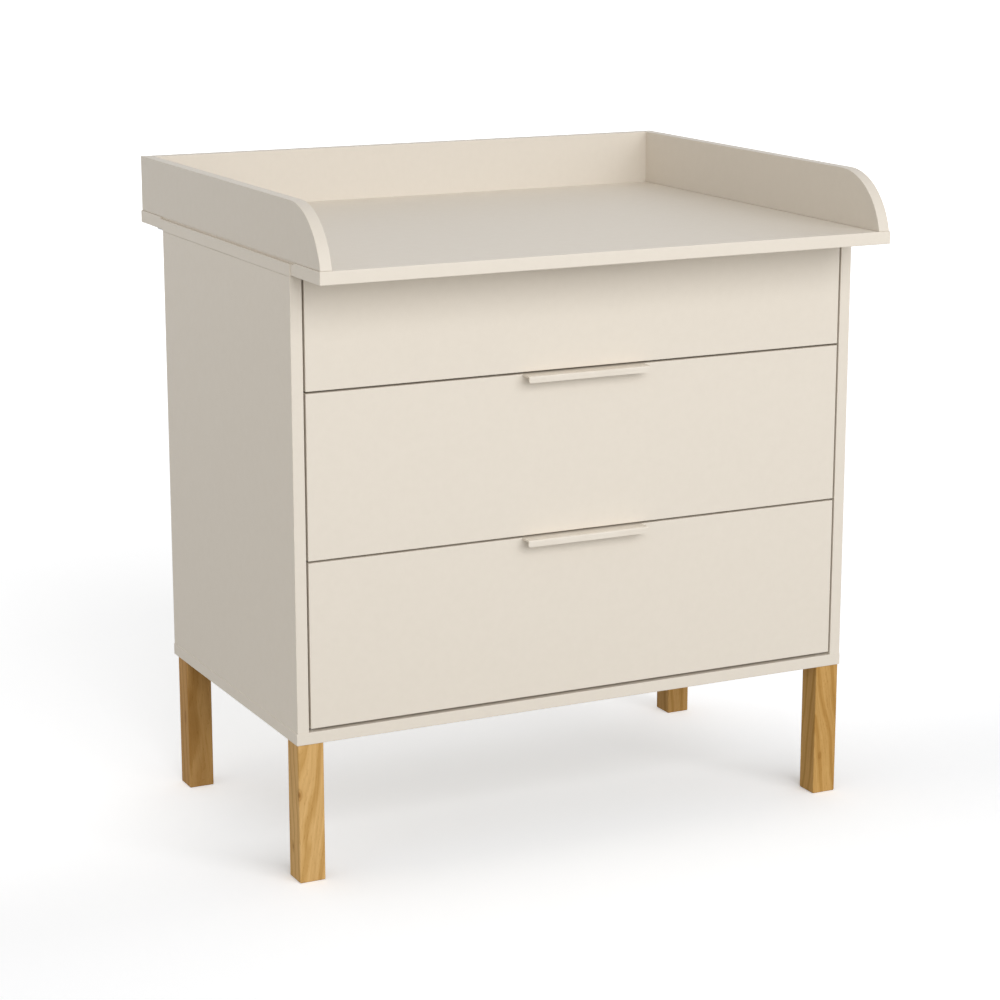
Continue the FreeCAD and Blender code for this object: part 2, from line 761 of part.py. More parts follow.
cabinet_screws = []
side_holes = list(joint_holes) + list(bracket_holes)
cabinet_pins = []
for drawer_name, (z0, z1) in drawer_levels.items():
    box_z = z0 + box_drop
    box_height = z1 - z0 - box_headroom
    channel_z = box_z + channel_lift

    screws, holes = runner_screws(channel_z)
    cabinet_screws += screws
    side_holes += holes
    channel = cut_all(cabinet_runner(channel_z), holes)
    write(drawer_name + "_cabinet_runners", both_sides([channel]))

    front_axle = Vector(-inner_half, front_roller_y, channel_z + front_roller_height)
    wheel, pin = roller_on_pin(front_axle, RIGHT)
    cabinet_pins.append(pin)
    write(drawer_name + "_front_rollers", both_sides([wheel]))

    rear_axle = Vector(-box_half, rear_roller_y, channel_z + rear_roller_height)
    wheel, rear_pin = roller_on_pin(rear_axle, -RIGHT)
    write(drawer_name + "_rear_rollers", both_sides([wheel]))

    joints, box_holes = drawer_joints(box_z, box_height)
    lift_screws, floor_holes = floor_screws(channel_z)
    pull_screws, pull_holes = handle_screws(z1)
    mirrored_holes = [mirrored(hole) for hole in box_holes]

    profile = cut_all(drawer_runner(channel_z), floor_holes)
    write(drawer_name + "_drawer_runners", both_sides([profile]))
    side = cut_all(drawer_side(box_z, box_height), box_holes + floor_holes)
    write(drawer_name + "_drawer_side_left", [side])
    write(drawer_name + "_drawer_side_right", [mirrored(side)])
    back = cut_all(drawer_back(box_z, box_height), box_holes + mirrored_holes)
    write(drawer_name + "_drawer_back", [back])
    write(drawer_name + "_drawer_bottom", [drawer_bottom(box_z)])
    front = cut_all(drawer_front(z0, z1, box_z), box_holes + mirrored_holes + pull_holes)
    write(drawer_name + "_drawer_front", [front])
    write(drawer_name + "_handle", [cut_all(drawer_handle(z1), pull_holes)])
    write(
        drawer_name + "_drawer_fixings",
        both_sides(joints + lift_screws + [rear_pin]) + pull_screws,
    )

write("runner_screws", both_sides(cabinet_screws))
write("cabinet_roller_pins", both_sides(cabinet_pins))

groove = back_groove()
left_side = cut_all(side_panel().cut(groove), side_holes)
write("side_panel_left", [left_side])
write("side_panel_right", [mirrored(left_side)])
base_holes = both_sides(joint_holes + leg_holes)
write("base_panel", [cut_all(cabinet_base().cut(groove), base_holes)])
write("top_panel", [cut_all(cabinet_cover().cut(groove), both_sides(joint_holes))])
write("back_panel", [back_panel()])
write("carcass_cam_locks", both_sides(cams))
write("carcass_dowels", both_sides(carcass_dowels))

# ---- putting the tray together ----
both_tray_holes = both_sides(tray_holes + bracket_holes)
front_lap = (front_y - deck_lap, front_y + overcut)
rear_lap = (rear_y - overcut, rear_y + deck_lap)
front_board = overhang(tray_front, front_y, front_lap)
rear_board = overhang(rear_y, tray_rear, rear_lap)
write("front_overhang", [cut_all(front_board, both_tray_holes)])
write("rear_overhang", [cut_all(rear_board, both_tray_holes)])
write("deck_sheet", [tray_deck()])
left_rail = cut_all(side_rail(), tray_holes)
write("rail_left", [left_rail])
write("rail_right", [mirrored(left_rail)])
write("rail_back", [cut_all(rear_rail(), both_tray_holes)])
write("tray_screws", both_sides(tray_screws))
write("tray_dowels", both_sides(tray_dowels))
write("tray_brackets", both_sides([cut_all(bracket, bracket_holes)]))
write("bracket_screws", both_sides(bracket_screws))
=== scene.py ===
import math

import bpy
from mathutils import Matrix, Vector


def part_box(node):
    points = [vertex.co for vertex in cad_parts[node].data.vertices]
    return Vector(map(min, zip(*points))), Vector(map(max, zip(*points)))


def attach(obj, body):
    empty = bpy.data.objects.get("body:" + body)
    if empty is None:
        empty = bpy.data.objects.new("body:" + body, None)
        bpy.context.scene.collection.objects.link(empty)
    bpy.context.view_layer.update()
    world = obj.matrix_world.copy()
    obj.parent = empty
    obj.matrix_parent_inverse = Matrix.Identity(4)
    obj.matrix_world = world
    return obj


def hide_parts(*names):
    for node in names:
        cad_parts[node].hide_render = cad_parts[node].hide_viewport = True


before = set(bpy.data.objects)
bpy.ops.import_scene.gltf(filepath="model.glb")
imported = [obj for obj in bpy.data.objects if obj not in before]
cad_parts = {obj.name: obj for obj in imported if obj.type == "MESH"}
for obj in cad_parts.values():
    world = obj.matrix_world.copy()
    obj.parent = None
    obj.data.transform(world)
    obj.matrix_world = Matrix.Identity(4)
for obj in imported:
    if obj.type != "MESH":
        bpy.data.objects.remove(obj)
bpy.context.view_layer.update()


# ---- Oak legs ----
# Four square legs of solid oak, sawn along the grain from four different blanks and oiled, with a
# few small knots. Their long edges and the rim of the foot are rounded over so that they neither
# cut nor splinter.
def block(name, low, high):
    """A block between two corners, added at its own size and place."""
    bpy.ops.object.select_all(action="DESELECT")
    low, high = Vector(low), Vector(high)
    bpy.ops.mesh.primitive_cube_add(size=1, location=(low + high) / 2)
    piece = bpy.context.object
    piece.name = name
    piece.scale = high - low
    bpy.ops.object.transform_apply(location=True, rotation=True, scale=True)
    return piece


def take_up(piece):
    """Selects one piece alone and makes it the active one."""
    bpy.ops.object.select_all(action="DESELECT")
    piece.select_set(True)
    bpy.context.view_layer.objects.active = piece


def pick(piece, kind, test):
    """Opens the piece with only the edges or faces that pass a test selected.

    The test gets an edge's middle and direction, or a face's middle and normal.
    """
    take_up(piece)
    bpy.ops.object.mode_set(mode="EDIT")
    bpy.ops.mesh.select_mode(type=kind)
    bpy.ops.mesh.select_all(action="DESELECT")
    bpy.ops.object.mode_set(mode="OBJECT")
    mesh = piece.data
    if kind == "EDGE":
        for edge in mesh.edges:
            start, end = (mesh.vertices[index].co for index in edge.vertices)
            edge.select = bool(test((start + end) / 2, (end - start).normalized()))
    else:
        for face in mesh.polygons:
            face.select = bool(test(face.center, face.normal))
    bpy.ops.object.mode_set(mode="EDIT")


def round_over(piece, radius, test=lambda middle, along: True, segments=3):
    """Rounds the edges of a piece that pass a test."""
    pick(piece, "EDGE", test)
    bpy.ops.mesh.bevel(offset=radius, segments=segments, profile=0.5)
    bpy.ops.object.mode_set(mode="OBJECT")


def fit(piece, body, nodes, finish):
    """Gives a finished piece its surface and its body, and lets it stand for its CAD nodes."""
    take_up(piece)
    bpy.ops.object.shade_smooth_by_angle(angle=math.radians(40))
    flatten = piece.modifiers.new("flat_faces", "WEIGHTED_NORMAL")
    flatten.keep_sharp = True
    bpy.ops.object.modifier_apply(modifier=flatten.name)
    piece.data.materials.clear()
    piece.data.materials.append(finish)
    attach(piece, body)
    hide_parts(*nodes)


def surface(name):
    """A new material, with its node tree, its surface shader and the place on the piece."""
    finish = bpy.data.materials.new(name)
    finish.use_nodes = True
    tree = finish.node_tree
    return finish, tree, tree.nodes["Principled BSDF"], add(tree, "TexCoord").outputs["Object"]


def add(tree, kind, inputs=(), **settings):
    """A node with its settings, and with its inputs set to values or joined to other outputs."""
    made = tree.nodes.new("ShaderNode" + kind)
    for key, value in settings.items():
        setattr(made, key, value)
    for key, value in dict(inputs).items():
        if isinstance(value, bpy.types.NodeSocket):
            tree.links.new(value, made.inputs[key])
        else:
            made.inputs[key].default_value = value
    return made


def shades(tree, factor, stops):
    """Colours picked along a ramp, given as (position, red, green, blue)."""
    ramp = add(tree, "ValToRGB", {"Fac": factor})
    ramp.color_ramp.elements[1].position = stops[-1][0]
    for position, *_ in stops[1:-1]:
        ramp.color_ramp.elements.new(position)
    for element, (position, red, green, blue) in zip(ramp.color_ramp.elements, stops):
        element.position = position
        element.color = (red, green, blue, 1)
    return ramp.outputs["Color"]


def noise(tree, place, scale, detail=2.0):
    """A soft random pattern, its scale in cells to a metre."""
    inputs = {"Vector": place, "Scale": scale, "Detail": detail}
    return add(tree, "TexNoise", inputs).outputs["Fac"]


def stretched(tree, place, scale):
    """A place scaled on each axis, to draw a pattern out."""
    return add(tree, "Mapping", {"Vector": place, "Scale": scale}).outputs["Vector"]


def reckon(tree, operation, *inputs):
    """Arithmetic on places."""
    inputs = dict(enumerate(inputs))
    return add(tree, "VectorMath", inputs, operation=operation).outputs["Vector"]


def shaded(tree, colour, shade, strength=1.0):
    """A colour with a shade laid over it."""
    inputs = {"Fac": strength, "Color1": colour, "Color2": shade}
    return add(tree, "MixRGB", inputs, blend_type="MULTIPLY").outputs["Color"]


def dull(tree, shader, pattern, low, high):
    """Roughness that goes between two values with a pattern."""
    between = add(tree, "MapRange", {"Value": pattern, "To Min": low, "To Max": high})
    tree.links.new(between.outputs["Result"], shader.inputs["Roughness"])


def emboss(tree, shader, pattern, strength, distance):
    """Fine relief from a pattern."""
    bump = add(tree, "Bump", {"Height": pattern, "Strength": strength, "Distance": distance})
    tree.links.new(bump.outputs["Normal"], shader.inputs["Normal"])


def oak(name, heart, lean, tint_and_shade, knots):
    """Oiled oak cut from one blank, whose heart lies away from the leg and leans along it.

    Each of its knots is given as the place of its middle and its radius.
    """
    finish, tree, shader, place = surface(name)
    blank = add(tree, "Mapping", {"Vector": place, "Location": heart, "Rotation": lean})
    blank = blank.outputs["Vector"]
    drawn = stretched(tree, blank, (1, 1, 0.16))
    waver = add(tree, "TexNoise", {"Vector": drawn, "Scale": 16.0, "Detail": 3.0})
    drift = reckon(tree, "SUBTRACT", waver.outputs["Color"], (0.5, 0.5, 0.5))
    moved = reckon(tree, "MULTIPLY_ADD", drift, (ring_waver,) * 3, blank)
    rings = add(
        tree, "TexWave",
        {"Vector": moved, "Scale": 22.0, "Distortion": 2.8, "Detail": 2.0, "Detail Scale": 0.5},
        wave_type="RINGS", rings_direction="Z", wave_profile="SIN",
    ).outputs["Fac"]
    colour = shades(tree, rings, [
        (band, *(part * tone for part, tone in zip(rgb, tint_and_shade))) for band, *rgb in oak_bands
    ])
    fine_rings = add(
        tree, "TexWave",
        {"Vector": moved, "Scale": 110.0, "Distortion": 1.5, "Detail": 2.0},
        wave_type="RINGS", rings_direction="Z", wave_profile="SAW",
    ).outputs["Fac"]
    fine_shade = shades(tree, fine_rings, [(0.4, 1, 1, 1), (1.0, 0.90, 0.85, 0.75)])
    colour = shaded(tree, colour, fine_shade, 0.55)
    cloud = noise(tree, stretched(tree, blank, (30, 30, 3.5)), 1.0)
    cloud_shade = shades(tree, cloud, [(0.3, 0.84, 0.79, 0.70), (0.7, 1.05, 1.05, 1.05)])
    colour = shaded(tree, colour, cloud_shade, 0.8)
    fibre = noise(tree, stretched(tree, moved, (520, 520, 9)), 1.0)
    fibre_shade = shades(tree, fibre, [(0.3, 0.91, 0.88, 0.80), (0.65, 1, 1, 1)])
    colour = shaded(tree, colour, fibre_shade, 0.7)
    pores = noise(tree, stretched(tree, moved, (1500, 1500, 70)), 1.0, detail=1.0)
    early = add(
        tree, "MapRange", {"Value": fine_rings, "From Min": 0.5, "From Max": 1.0, "To Max": 0.1}
    )
    pore_depth = add(tree, "Math", {0: pores, 1: early.outputs["Result"]}, operation="ADD")
    pore_shade = shades(
        tree, pore_depth.outputs["Value"], [(0.66, 1, 1, 1), (0.80, 0.72, 0.62, 0.45)]
    )
    colour = shaded(tree, colour, pore_shade, 0.75)
    for middle, radius in knots:
        away = reckon(tree, "SUBTRACT", place, middle)
        away = reckon(tree, "MULTIPLY_ADD", drift, (knot_waver,) * 3, away)
        away = reckon(tree, "MULTIPLY", away, (1, 1, 0.5))
        gap = add(tree, "VectorMath", {0: away}, operation="LENGTH").outputs["Value"]
        ring = add(tree, "MapRange", {"Value": gap, "From Max": radius * knot_reach})
        knot_shade = shades(tree, ring.outputs["Result"], [
            (0.0, 0.46, 0.36, 0.26), (0.2, 0.60, 0.50, 0.38), (0.32, 0.84, 0.78, 0.68),
            (0.45, 0.78, 0.72, 0.62), (0.6, 0.96, 0.94, 0.9), (1.0, 1, 1, 1),
        ])
        colour = shaded(tree, colour, knot_shade)
    tree.links.new(colour, shader.inputs["Base Color"])
    relief = add(tree, "Math", {0: fibre_shade, 1: pore_shade}, operation="MULTIPLY")
    emboss(tree, shader, relief.outputs["Value"], 0.35, 0.0002)
    dull(tree, shader, fibre, 0.50, 0.64)
    shader.inputs["Specular IOR Level"].default_value = 0.12
    return finish


# The colours across a year ring, from late wood to early wood and back.
oak_bands = [
    (0.0, 0.560, 0.325, 0.098), (0.25, 0.640, 0.388, 0.130), (0.6, 0.705, 0.447, 0.168),
    (1.0, 0.67, 0.416, 0.150),
]
ring_waver = 0.028
knot_waver = 0.02
knot_reach = 4
leg_round = 0.0018
# Each leg's blank: where its heart lies, how that leans, its tint (darker on the rear legs as a
# painted shade), and its knots.
oak_blanks = {
    "front_left": (
        (0.50, 0.33, 0.0), (0.05, -0.09, 0.0), (1.10, 1.14, 1.33),
        [((-0.459, -0.230, 0.050), 0.0022), ((-0.456, -0.2575, 0.138), 0.0024)],
    ),
    "front_right": (
        (-0.37, 0.31, 0.0), (-0.10, 0.06, 0.0), (0.93, 0.90, 0.87),
        [((0.431, -0.2575, 0.062), 0.0016)],
    ),
    # The rear legs' tints are darker: a painted shade for their place under the cabinet.
    "rear_left": (
        (0.46, -0.12, 0.0), (0.04, 0.07, 0.0), (0.87, 0.81, 0.80),
        [((-0.459, 0.222, 0.118), 0.0026)],
    ),
    "rear_right": ((-0.52, -0.16, 0.0), (0.09, -0.05, 0.0), (0.88, 0.84, 0.84), []),
}
for corner, cut in oak_blanks.items():
    low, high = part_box("leg_" + corner)
    leg = block("oak_leg_" + corner, low, high)
    round_over(leg, leg_round, lambda middle, along: middle.z < high.z - leg_round)
    fit(leg, "cabinet", ["leg_" + corner], oak("oak_" + corner, *cut))


# ---- Cabinet boards ----
# Base, sides and top are 18 mm board under satin lacquer, cream all over, with every edge rubbed
# down to a small round before it was sprayed. A groove runs round inside them for the back.
lacquer, tree, shader, spot = surface("satin_lacquer")
mottle = noise(tree, spot, 90.0, detail=6.0)
mottle_shade = shades(tree, mottle, [(0.3, 0.770, 0.710, 0.625), (0.7, 0.783, 0.723, 0.638)])
tree.links.new(mottle_shade, shader.inputs["Base Color"])
dull(tree, shader, noise(tree, spot, 55.0), 0.38, 0.48)
emboss(tree, shader, noise(tree, spot, 620.0), 0.1, 0.0002)
shader.inputs["Specular IOR Level"].default_value = 0.4

edge_round = 0.001
# An edge whose direction has at least this much of an axis in it runs along that axis.
aligned = 0.9


def combine(piece, other, operation):
    """Cuts another solid out of a piece or welds it on, and takes the other away."""
    take_up(piece)
    step = piece.modifiers.new("step", "BOOLEAN")
    step.operation = operation
    step.solver = "EXACT"
    step.object = other
    bpy.ops.object.modifier_apply(modifier=step.name)
    bpy.data.objects.remove(other)


def cut_away(piece, cutter):
    """Takes the cutter's shape out of a piece."""
    combine(piece, cutter, "DIFFERENCE")


def drill(piece, centre, along, radius, depth, sides=32):
    """Drills a round hole into a piece, from a point on its face."""
    along = Vector(along)
    bpy.ops.object.select_all(action="DESELECT")
    bpy.ops.mesh.primitive_cylinder_add(
        vertices=sides, radius=radius, depth=depth * 2, location=centre,
        rotation=along.to_track_quat("Z", "Y").to_euler(),
    )
    cut_away(piece, bpy.context.object)


cabinet_boards = {
    "base_panel": lambda middle, along: True,
    "side_panel_left": lambda middle, along: abs(along.z) > aligned,
    "side_panel_right": lambda middle, along: abs(along.z) > aligned,
    "top_panel": lambda middle, along: True,
}
back_low, back_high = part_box("back_panel")
groove_room = Vector((0.0002, 0.0001, 0.0002))
panel_face = 0.442
cam_rows = (-0.1895, 0.1905)
cam_levels = (0.262, 0.854)
cam_hole_radius = 0.00755
cam_hole_depth = 0.0126
for board_name, is_eased in cabinet_boards.items():
    board = block("lacquered_" + board_name, *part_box(board_name))
    round_over(board, edge_round, is_eased)
    cut_away(board, block("groove", back_low - groove_room, back_high + groove_room))
    if "side" in board_name:
        side = -1 if "left" in board_name else 1
        for y in cam_rows:
            for z in cam_levels:
                place = (panel_face * side, y, z)
                drill(board, place, (side, 0, 0), cam_hole_radius, cam_hole_depth)
    fit(board, "cabinet", [board_name], lacquer)


# ---- Back panel ----
# A 3 mm hardboard sheet in that groove, with a pale paper foil on it. Its faces are dead flat and
# duller than the lacquer, with the faint speckle of the printed foil.
foil, tree, shader, spot = surface("pale_foil")
speckle = noise(tree, spot, 850.0, detail=3.0)
speckle_shade = shades(tree, speckle, [(0.35, 0.725, 0.68, 0.605), (0.6, 0.775, 0.73, 0.655)])
cloud_shade = shades(tree, noise(tree, spot, 6.0), [(0.3, 0.96, 0.96, 0.96), (0.7, 1, 1, 1)])
tree.links.new(shaded(tree, speckle_shade, cloud_shade), shader.inputs["Base Color"])
emboss(tree, shader, speckle, 0.15, 0.0001)
shader.inputs["Roughness"].default_value = 0.62

sheet_round = 0.0002
back = block("foiled_back", back_low, back_high)
round_over(back, sheet_round, segments=2)
fit(back, "cabinet", ["back_panel"], foil)


# ---- Changing tray boards ----
# The tray is a front and a rear board that stand out past the cabinet, with a 3 mm sheet let into
# rebates on both, so that the three make one flat deck over the cabinet's top.
deck_low, deck_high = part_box("deck_sheet")
deck_round = 0.0003
overshoot = 0.01
for board_name in ("front_overhang", "rear_overhang"):
    board = block("lacquered_" + board_name, *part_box(board_name))
    round_over(board, edge_round)
    lap_low = deck_low - Vector((overshoot, 0, 0))
    lap_high = deck_high + Vector((overshoot, 0, overshoot))
    cut_away(board, block("lap", lap_low, lap_high))
    fit(board, "cabinet", [board_name], lacquer)
deck = block("lacquered_deck_sheet", deck_low, deck_high)
round_over(deck, deck_round, segments=2)
fit(deck, "cabinet", ["deck_sheet"], lacquer)


# ---- Tray rails ----
# Three rails of lacquered board stand on edge round the deck, screwed up from below. Each side rail
# runs the tray's full depth and is cut at its front to a large round that comes down to the deck's
# front edge. Their lacquer is the cabinet's, darkened all over by a painted shade for the tray's
# inside.
# How far the rails' lacquer is darkened, as a painted shade.
rail_painted_shade = 0.93
shaded_rail_lacquer = lacquer.copy()
shaded_rail_lacquer.name = "lacquer_with_painted_shade"
for node in shaded_rail_lacquer.node_tree.nodes:
    if node.type == "VALTORGB":
        for element in node.color_ramp.elements:
            element.color = [part * rail_painted_shade for part in element.color[:3]] + [1]

curve_radius = 0.108
curve_facets = 240
# Points closer than this to a plane lie on it.
hair = 1e-5
for side_name in ("left", "right"):
    low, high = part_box("rail_" + side_name)
    reach = math.sqrt(curve_radius ** 2 - (curve_radius - (high.z - low.z)) ** 2)
    centre = Vector(((low.x + high.x) / 2, low.y + reach, high.z - curve_radius))
    bpy.ops.object.select_all(action="DESELECT")
    bpy.ops.mesh.primitive_cylinder_add(
        vertices=curve_facets, radius=curve_radius, depth=high.x - low.x, location=centre,
        rotation=(0, math.pi / 2, 0),
    )
    rail = bpy.context.object
    rail.name = "lacquered_rail_" + side_name
    bpy.ops.object.transform_apply(location=True, rotation=True, scale=True)
    pick(rail, "FACE", lambda middle, normal: True)
    bpy.ops.mesh.bisect(
        plane_co=(0, 0, low.z), plane_no=(0, 0, 1), use_fill=True, clear_inner=True
    )
    bpy.ops.mesh.select_all(action="SELECT")
    bpy.ops.mesh.bisect(
        plane_co=(0, centre.y, 0), plane_no=(0, 1, 0), use_fill=True, clear_outer=True
    )
    bpy.ops.object.mode_set(mode="OBJECT")
    pick(rail, "FACE", lambda middle, normal: normal.y > 0.99)
    bpy.ops.mesh.extrude_region_move(
        TRANSFORM_OT_translate={"value": (0, high.y - centre.y, 0)}
    )
    bpy.ops.object.mode_set(mode="OBJECT")

    def is_rim(middle, along):
        on_face = min(abs(middle.x - low.x), abs(middle.x - high.x)) < hair
        at_end = min(abs(middle.y - low.y), abs(middle.y - high.y)) < 10 * hair
        across = abs(along.x)
        return (on_face and across < 1 - aligned) or (at_end and across > aligned)

    round_over(rail, edge_round, is_rim)
    fit(rail, "cabinet", ["rail_" + side_name], shaded_rail_lacquer)
low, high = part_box("rail_back")
half_way = (low.z + high.z) / 2
rail = block("lacquered_rail_back", low, high)
round_over(
    rail, edge_round, lambda middle, along: abs(along.x) > aligned and middle.z > half_way
)
fit(rail, "cabinet", ["rail_back"], shaded_rail_lacquer)


# ---- Handles ----
# Each pull is a 200 mm strip of 2.5 mm steel, folded down in front to a lip that the fingers catch
# and down behind to a flange that is screwed to the back of the front, then powder-coated.
powder, tree, shader, spot = surface("powder_coat")
drift = noise(tree, spot, 30.0)
drift_shade = shades(tree, drift, [(0.3, 0.760, 0.700, 0.615), (0.7, 0.800, 0.744, 0.662)])
streaks = noise(tree, stretched(tree, spot, (6, 900, 900)), 1.0)
streak_shade = shades(tree, streaks, [(0.35, 0.975, 0.972, 0.965), (0.65, 1.005, 1.005, 1.005)])
tree.links.new(shaded(tree, drift_shade, streak_shade), shader.inputs["Base Color"])
grit = add(tree, "TexVoronoi", {"Vector": spot, "Scale": 1300.0}).outputs["Distance"]
emboss(tree, shader, grit, 0.25, 0.0001)
shader.inputs["Roughness"].default_value = 0.45


def fold_strip(name, low, high, folds):
    """A strip that starts flat between two corners at one height, and is folded at its edges.

    Each fold is a test for the edges it starts from and the way they are drawn out.
    """
    bpy.ops.object.select_all(action="DESELECT")
    low, high = Vector(low), Vector(high)
    bpy.ops.mesh.primitive_plane_add(size=1, location=(low + high) / 2)
    piece = bpy.context.object
    piece.name = name
    piece.scale = (high.x - low.x, high.y - low.y, 1)
    bpy.ops.object.transform_apply(location=True, rotation=True, scale=True)
    for test, move in folds:
        pick(piece, "EDGE", test)
        bpy.ops.mesh.extrude_region_move(TRANSFORM_OT_translate={"value": move})
        bpy.ops.object.mode_set(mode="OBJECT")
    return piece


def round_corners(piece, radius, test):
    """Rounds the free corners of a sheet, at the places that pass a test."""
    pick(piece, "EDGE", lambda middle, along: False)
    bpy.ops.mesh.select_mode(type="VERT")
    bpy.ops.object.mode_set(mode="OBJECT")
    for corner in piece.data.vertices:
        corner.select = test(corner.co)
    bpy.ops.object.mode_set(mode="EDIT")
    bpy.ops.mesh.bevel(offset=radius, segments=5, profile=0.5, affect="VERTICES")
    bpy.ops.object.mode_set(mode="OBJECT")


def turn_outwards():
    """Turns all faces of the active piece outwards."""
    bpy.ops.object.mode_set(mode="EDIT")
    bpy.ops.mesh.select_all(action="SELECT")
    bpy.ops.mesh.normals_make_consistent(inside=False)
    bpy.ops.object.mode_set(mode="OBJECT")


def thicken(piece, thickness, offset):
    """Gives a folded sheet its thickness."""
    take_up(piece)
    wall = piece.modifiers.new("wall", "SOLIDIFY")
    wall.thickness = thickness
    wall.offset = offset
    wall.use_even_offset = True
    bpy.ops.object.modifier_apply(modifier=wall.name)
    turn_outwards()


drawers = ("lower", "middle", "upper")
handle_steel = 0.0025
lip_height = 0.010
fold_round = 0.0026
for drawer in drawers:
    low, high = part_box(drawer + "_handle")
    lip_foot = high.z - lip_height
    strip = fold_strip(
        drawer + "_pull", (low.x, low.y, high.z), (high.x, high.y, high.z),
        [
            (lambda middle, along: middle.y < low.y + hair, (0, 0, -lip_height)),
            (lambda middle, along: middle.y > high.y - hair, (0, 0, low.z - high.z)),
        ],
    )
    round_over(
        strip, fold_round,
        lambda middle, along: middle.z > high.z - hair and abs(along.x) > aligned
        and min(abs(middle.y - low.y), abs(middle.y - high.y)) < hair,
        segments=6,
    )
    round_corners(
        strip, fold_round,
        lambda place: abs(place.z - lip_foot) < hair and place.y < low.y + hair,
    )
    thicken(strip, handle_steel, -1)
    fit(strip, drawer + "_drawer", [drawer + "_handle"], powder)


# ---- Drawer fronts ----
# Inset fronts of 18 mm board in the same lacquer, with a shallow slot in the top edge for the
# handle's plate and a groove behind for the drawer's bottom.
slot_half = 0.10015
slot_play = 0.00015
groove_play = 0.0002
for drawer in drawers:
    node = drawer + "_drawer_front"
    low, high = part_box(node)
    front = block("lacquered_" + node, low, high)
    round_over(front, edge_round)
    slot_floor = high.z - handle_steel - slot_play
    cut_away(front, block("slot", (-slot_half, low.y - overshoot, slot_floor),
                          (slot_half, high.y + overshoot, high.z + overshoot)))
    bottom_low, bottom_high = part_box(drawer + "_drawer_bottom")
    cut_away(front, block("groove", bottom_low - Vector((groove_play,) * 3),
                          bottom_high + Vector((groove_play, 0.1, groove_play / 2))))
    fit(front, drawer + "_drawer", [node], lacquer)


# ---- Drawer boxes ----
# Each box is two 12 mm sides and a back with pale foil on them, joined by dowels, cam locks and
# screws, round a 3 mm bottom that slides into grooves on all four boards.
box_round = 0.0008
lock_setback = 0.024
lock_rise = 0.030
lock_hole_radius = 0.00605
lock_hole_depth = 0.0091
bottom_room = Vector((groove_play, groove_play, groove_play / 2))
for drawer in drawers:
    bottom_low, bottom_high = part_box(drawer + "_drawer_bottom")
    for part_name in ("side_left", "side_right", "back"):
        node = drawer + "_drawer_" + part_name
        low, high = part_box(node)
        board = block("foiled_" + node, low, high)
        long_way = Vector((1, 0, 0)) if part_name == "back" else Vector((0, 1, 0))
        round_over(board, box_round, lambda middle, along: abs(along.dot(long_way)) > aligned)
        cut_away(board, block("groove", bottom_low - bottom_room, bottom_high + bottom_room))
        if part_name != "back":
            side = -1 if part_name == "side_left" else 1
            inner_face = high.x if side < 0 else low.x
            lock_place = (inner_face, low.y + lock_setback, low.z + lock_rise)
            drill(board, lock_place, (side, 0, 0), lock_hole_radius, lock_hole_depth)
        fit(board, drawer + "_drawer", [node], foil)
    bottom = block("foiled_" + drawer + "_bottom", bottom_low, bottom_high)
    round_over(bottom, sheet_round, segments=2)
    fit(bottom, drawer + "_drawer", [drawer + "_drawer_bottom"], foil)


# ---- Cabinet runners ----
# A C channel of 1.2 mm steel, rolled and white-coated, is screwed to each side panel through
# pressed slots. Its upper flange is cut back in front for the roller, and a rear tab and a low
# bump in its foot stop the drawer's wheel at both ends of its travel.
coat, tree, shader, spot = surface("white_epoxy")
drift = noise(tree, spot, 45.0, detail=3.0)
drift_shade = shades(tree, drift, [(0.3, 0.66, 0.655, 0.63), (0.7, 0.72, 0.715, 0.69)])
tree.links.new(drift_shade, shader.inputs["Base Color"])
emboss(tree, shader, noise(tree, spot, 380.0), 0.15, 0.0002)
shader.inputs["Roughness"].default_value = 0.33

steel = 0.0012
roll_round = steel + 0.0005
cut_round = 0.0003
channel_depth = 0.0109
channel_height = 0.023
web_middle = 0.0115
channel_front = -0.2395
runner_length = 0.45
channel_levels = {"lower": 0.252, "middle": 0.500, "upper": 0.744}
front_roller_y = -0.2255
rear_roller_y = 0.1945
roller_radius = 0.010
runner_play = 0.0003


def side_copy(piece, name, side):
    """A copy with its own mesh, turned over to the other side where that is wanted."""
    copy = piece.copy()
    copy.data = piece.data.copy()
    copy.name = name
    bpy.context.scene.collection.objects.link(copy)
    take_up(copy)
    if side > 0:
        bpy.ops.transform.mirror(constraint_axis=(True, False, False), center_override=(0, 0, 0))
        bpy.ops.object.transform_apply(location=True, rotation=True, scale=True)
        turn_outwards()
    return copy


def moved_by(piece, offset):
    """Moves a piece and bakes its new place in its mesh."""
    take_up(piece)
    piece.location = offset
    bpy.ops.object.transform_apply(location=True, rotation=True, scale=True)


def slot_through(piece, centre, half_length, radius):
    """Presses a slot with round ends through a runner's web, along its length."""
    through = 0.004
    for end in (-half_length, half_length):
        drill(piece, centre + Vector((0, end, 0)), (1, 0, 0), radius, through, sides=16)
    reach = Vector((through, half_length, radius))
    cut_away(piece, block("slot", centre - reach, centre + reach))


